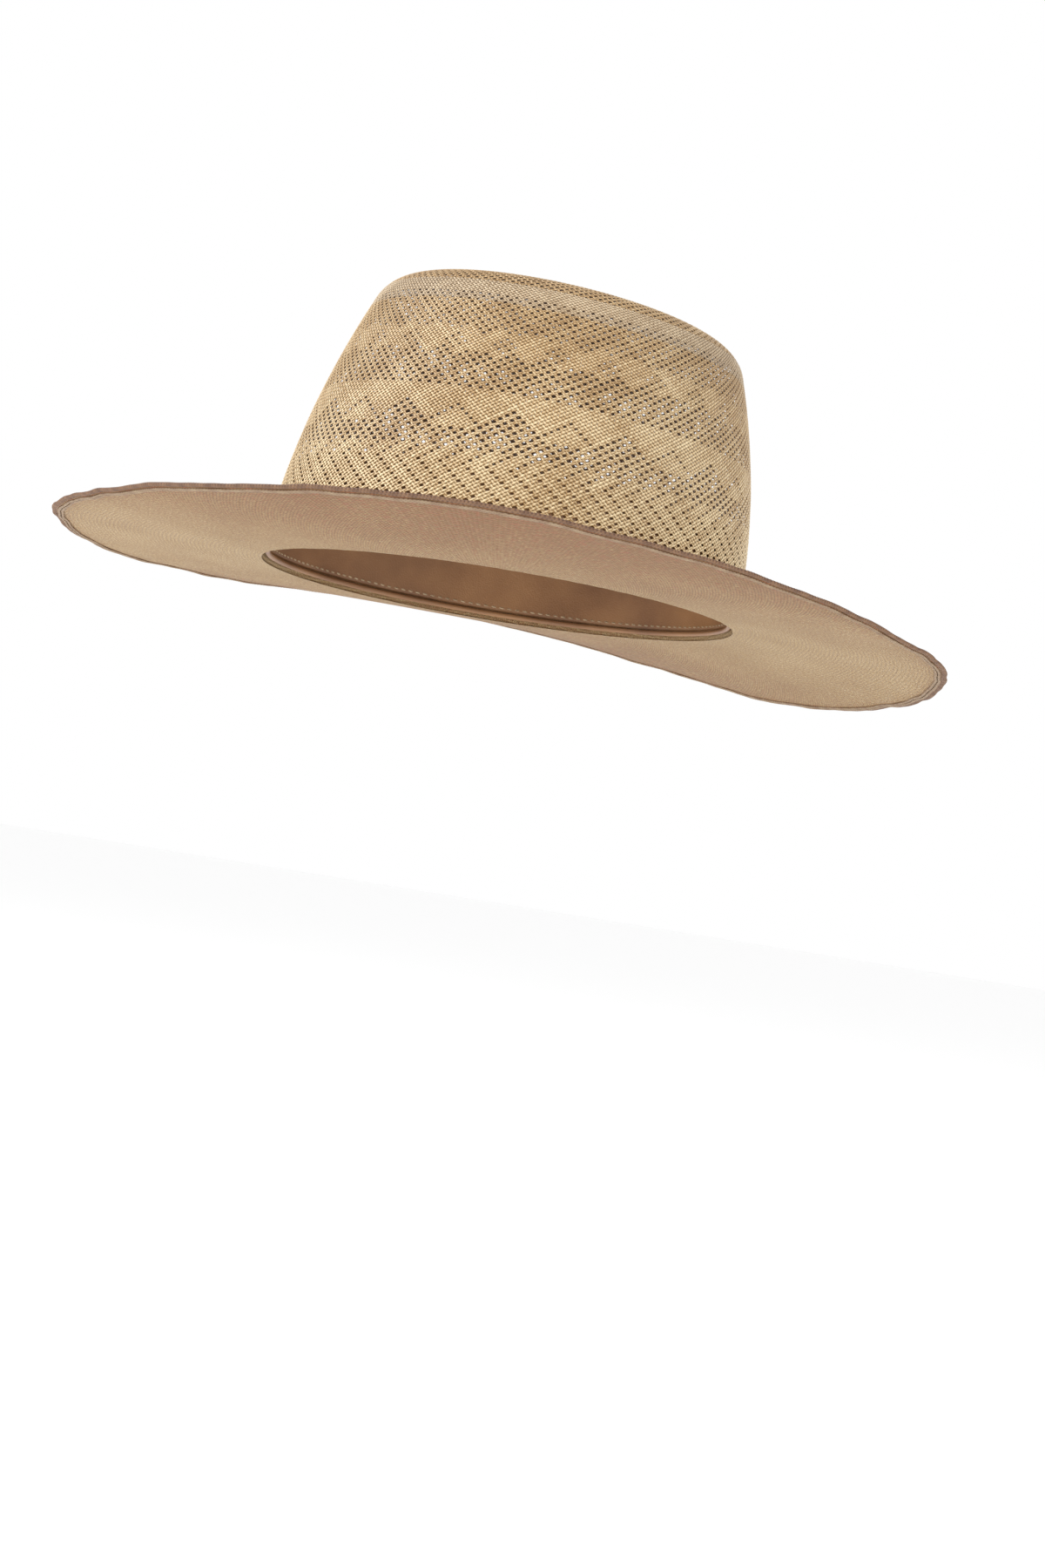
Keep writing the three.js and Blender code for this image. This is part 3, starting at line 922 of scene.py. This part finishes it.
def build_tape():
    """A strip of ribbon over the join of the leather."""
    side, rise = strip_grid((-1, 1), (0, 1), TAPE_STEPS)
    face = STRAW + BAND_THICKNESS + 2 * GAP
    across = side * TAPE_WIDTH / 2
    up = TAPE_BOTTOM + (TAPE_TOP - TAPE_BOTTOM) * rise
    inwards = face + TAPE_THICKNESS / 2 + TAPE_WAVE * np.sin(rise * 9)
    ribbon_strip("sweatband_seam_tape", across, up, inwards, TAPE_RIBBON,
                 "sweatband_seam_tape", across, up / TAPE_RIB)


def build_bow():
    """Two flattened loops of ribbon with a knot over their middle."""
    face = STRAW + BAND_THICKNESS + TAPE_THICKNESS + 3 * GAP
    turn, side = strip_grid((0, TURN), (-1, 1), LOOP_STEPS)
    loop = np.sin(turn)
    across = BOW_HALF_WIDTH * LOOP_REACH * signed_power(loop, 0.6)
    half = LOOP_WAIST + LOOP_FLARE * (np.abs(across) / BOW_HALF_WIDTH) ** 1.2
    up = BOW_HEIGHT + side * half
    inwards = face + LOOP_OUT + LOOP_DEPTH * np.cos(turn) * np.abs(loop) ** 0.3
    length = np.cumsum(np.abs(np.gradient(across, axis=0)), axis=0)
    ribbon_strip("sweatband_bow_loops", across, up, inwards, LOOP_RIBBON,
                 "sweatband_bow", side, length / BOW_RIB)
    turn, side = strip_grid((0, TURN), (-1, 1), KNOT_STEPS)
    up = BOW_HEIGHT + KNOT_HALF_HEIGHT * np.cos(turn)
    inwards = face + KNOT_OUT + KNOT_DEPTH * np.sin(turn)
    ribbon_strip("sweatband_bow_knot", KNOT_HALF_WIDTH * side, up, inwards, KNOT_RIBBON,
                 "sweatband_bow", side, turn * KNOT_RIBS)


build_band()
build_reed()
build_stitches()
build_tape()
build_bow()


# ---- floor, lights and camera ---------------------------------------------------------------

FLOOR_HEIGHT = -0.31
FLOOR_HALF_SIZE = 40         # so wide that its edge never shows
FLOOR_WHITE = (0.97, 0.97, 0.97, 1)
CAMERA_DISTANCE = 0.9355
CAMERA_ELEVATION = math.radians(-7.75)
CAMERA_ROLL = math.radians(9.2)
AIM_RIGHT = -0.01132         # where the opening's middle shows, right and down of the view's centre
AIM_DOWN = -0.0872
CAMERA_LENS = 50             # mm, as is the sensor's height
CAMERA_SENSOR = 36


def add_floor():
    mesh = bpy.data.meshes.new("floor")
    size = FLOOR_HALF_SIZE
    corners = [(-size, -size, 0), (size, -size, 0), (size, size, 0), (-size, size, 0)]
    mesh.from_pydata(corners, [], [(0, 1, 2, 3)])
    floor = bpy.data.objects.new("floor", mesh)
    floor.location.z = FLOOR_HEIGHT
    bpy.context.scene.collection.objects.link(floor)
    n = Nodes("floor_white")
    n.surface(FLOOR_WHITE, roughness=0.9)
    mesh.materials.append(n.material)


def add_light(name, place, size, watts, colour):
    """A square light that looks at the hat."""
    data = bpy.data.lights.new(name, "AREA")
    data.energy = watts
    data.size = size
    data.color = colour
    light = bpy.data.objects.new(name, data)
    light.location = place
    light.rotation_euler = (-Vector(place)).to_track_quat("-Z", "Y").to_euler()
    bpy.context.scene.collection.objects.link(light)


def add_world(strength):
    world = bpy.data.worlds.new("studio")
    world.use_nodes = True
    background = world.node_tree.nodes["Background"]
    background.inputs["Color"].default_value = (1, 1, 1, 1)
    background.inputs["Strength"].default_value = strength
    bpy.context.scene.world = world


def add_camera():
    """Set back from the side of the hat, a little below the brim and rolled."""
    lift = CAMERA_ELEVATION
    back = Vector((math.cos(lift), 0, math.sin(lift)))
    ahead = -back
    level = ahead.cross(Vector((0, 0, 1))).normalized()
    over = level.cross(ahead)
    right = level * math.cos(CAMERA_ROLL) + over * math.sin(CAMERA_ROLL)
    up = -level * math.sin(CAMERA_ROLL) + over * math.cos(CAMERA_ROLL)
    axes = Matrix((right, up, -ahead)).transposed()
    seen = Vector((AIM_RIGHT, -AIM_DOWN, -1)).normalized()
    turn = Vector((0, 0, -1)).rotation_difference(seen).to_matrix()
    data = bpy.data.cameras.new("camera")
    data.lens = CAMERA_LENS
    data.sensor_fit = "VERTICAL"
    data.sensor_height = CAMERA_SENSOR
    camera = bpy.data.objects.new("camera", data)
    camera.matrix_world = (axes @ turn.inverted()).to_4x4()
    camera.location = back * CAMERA_DISTANCE
    bpy.context.scene.collection.objects.link(camera)
    bpy.context.scene.camera = camera


add_floor()
add_light("key", (0.6, -1.5, 0.95), size=0.6, watts=31, colour=(1, 1, 1))
add_light("fill", (1.2, 1.3, 0.5), size=1.3, watts=11, colour=(1, 0.96, 0.88))
add_world(strength=1.0)
add_camera()

scene = bpy.context.scene
scene.view_settings.view_transform = "Standard"
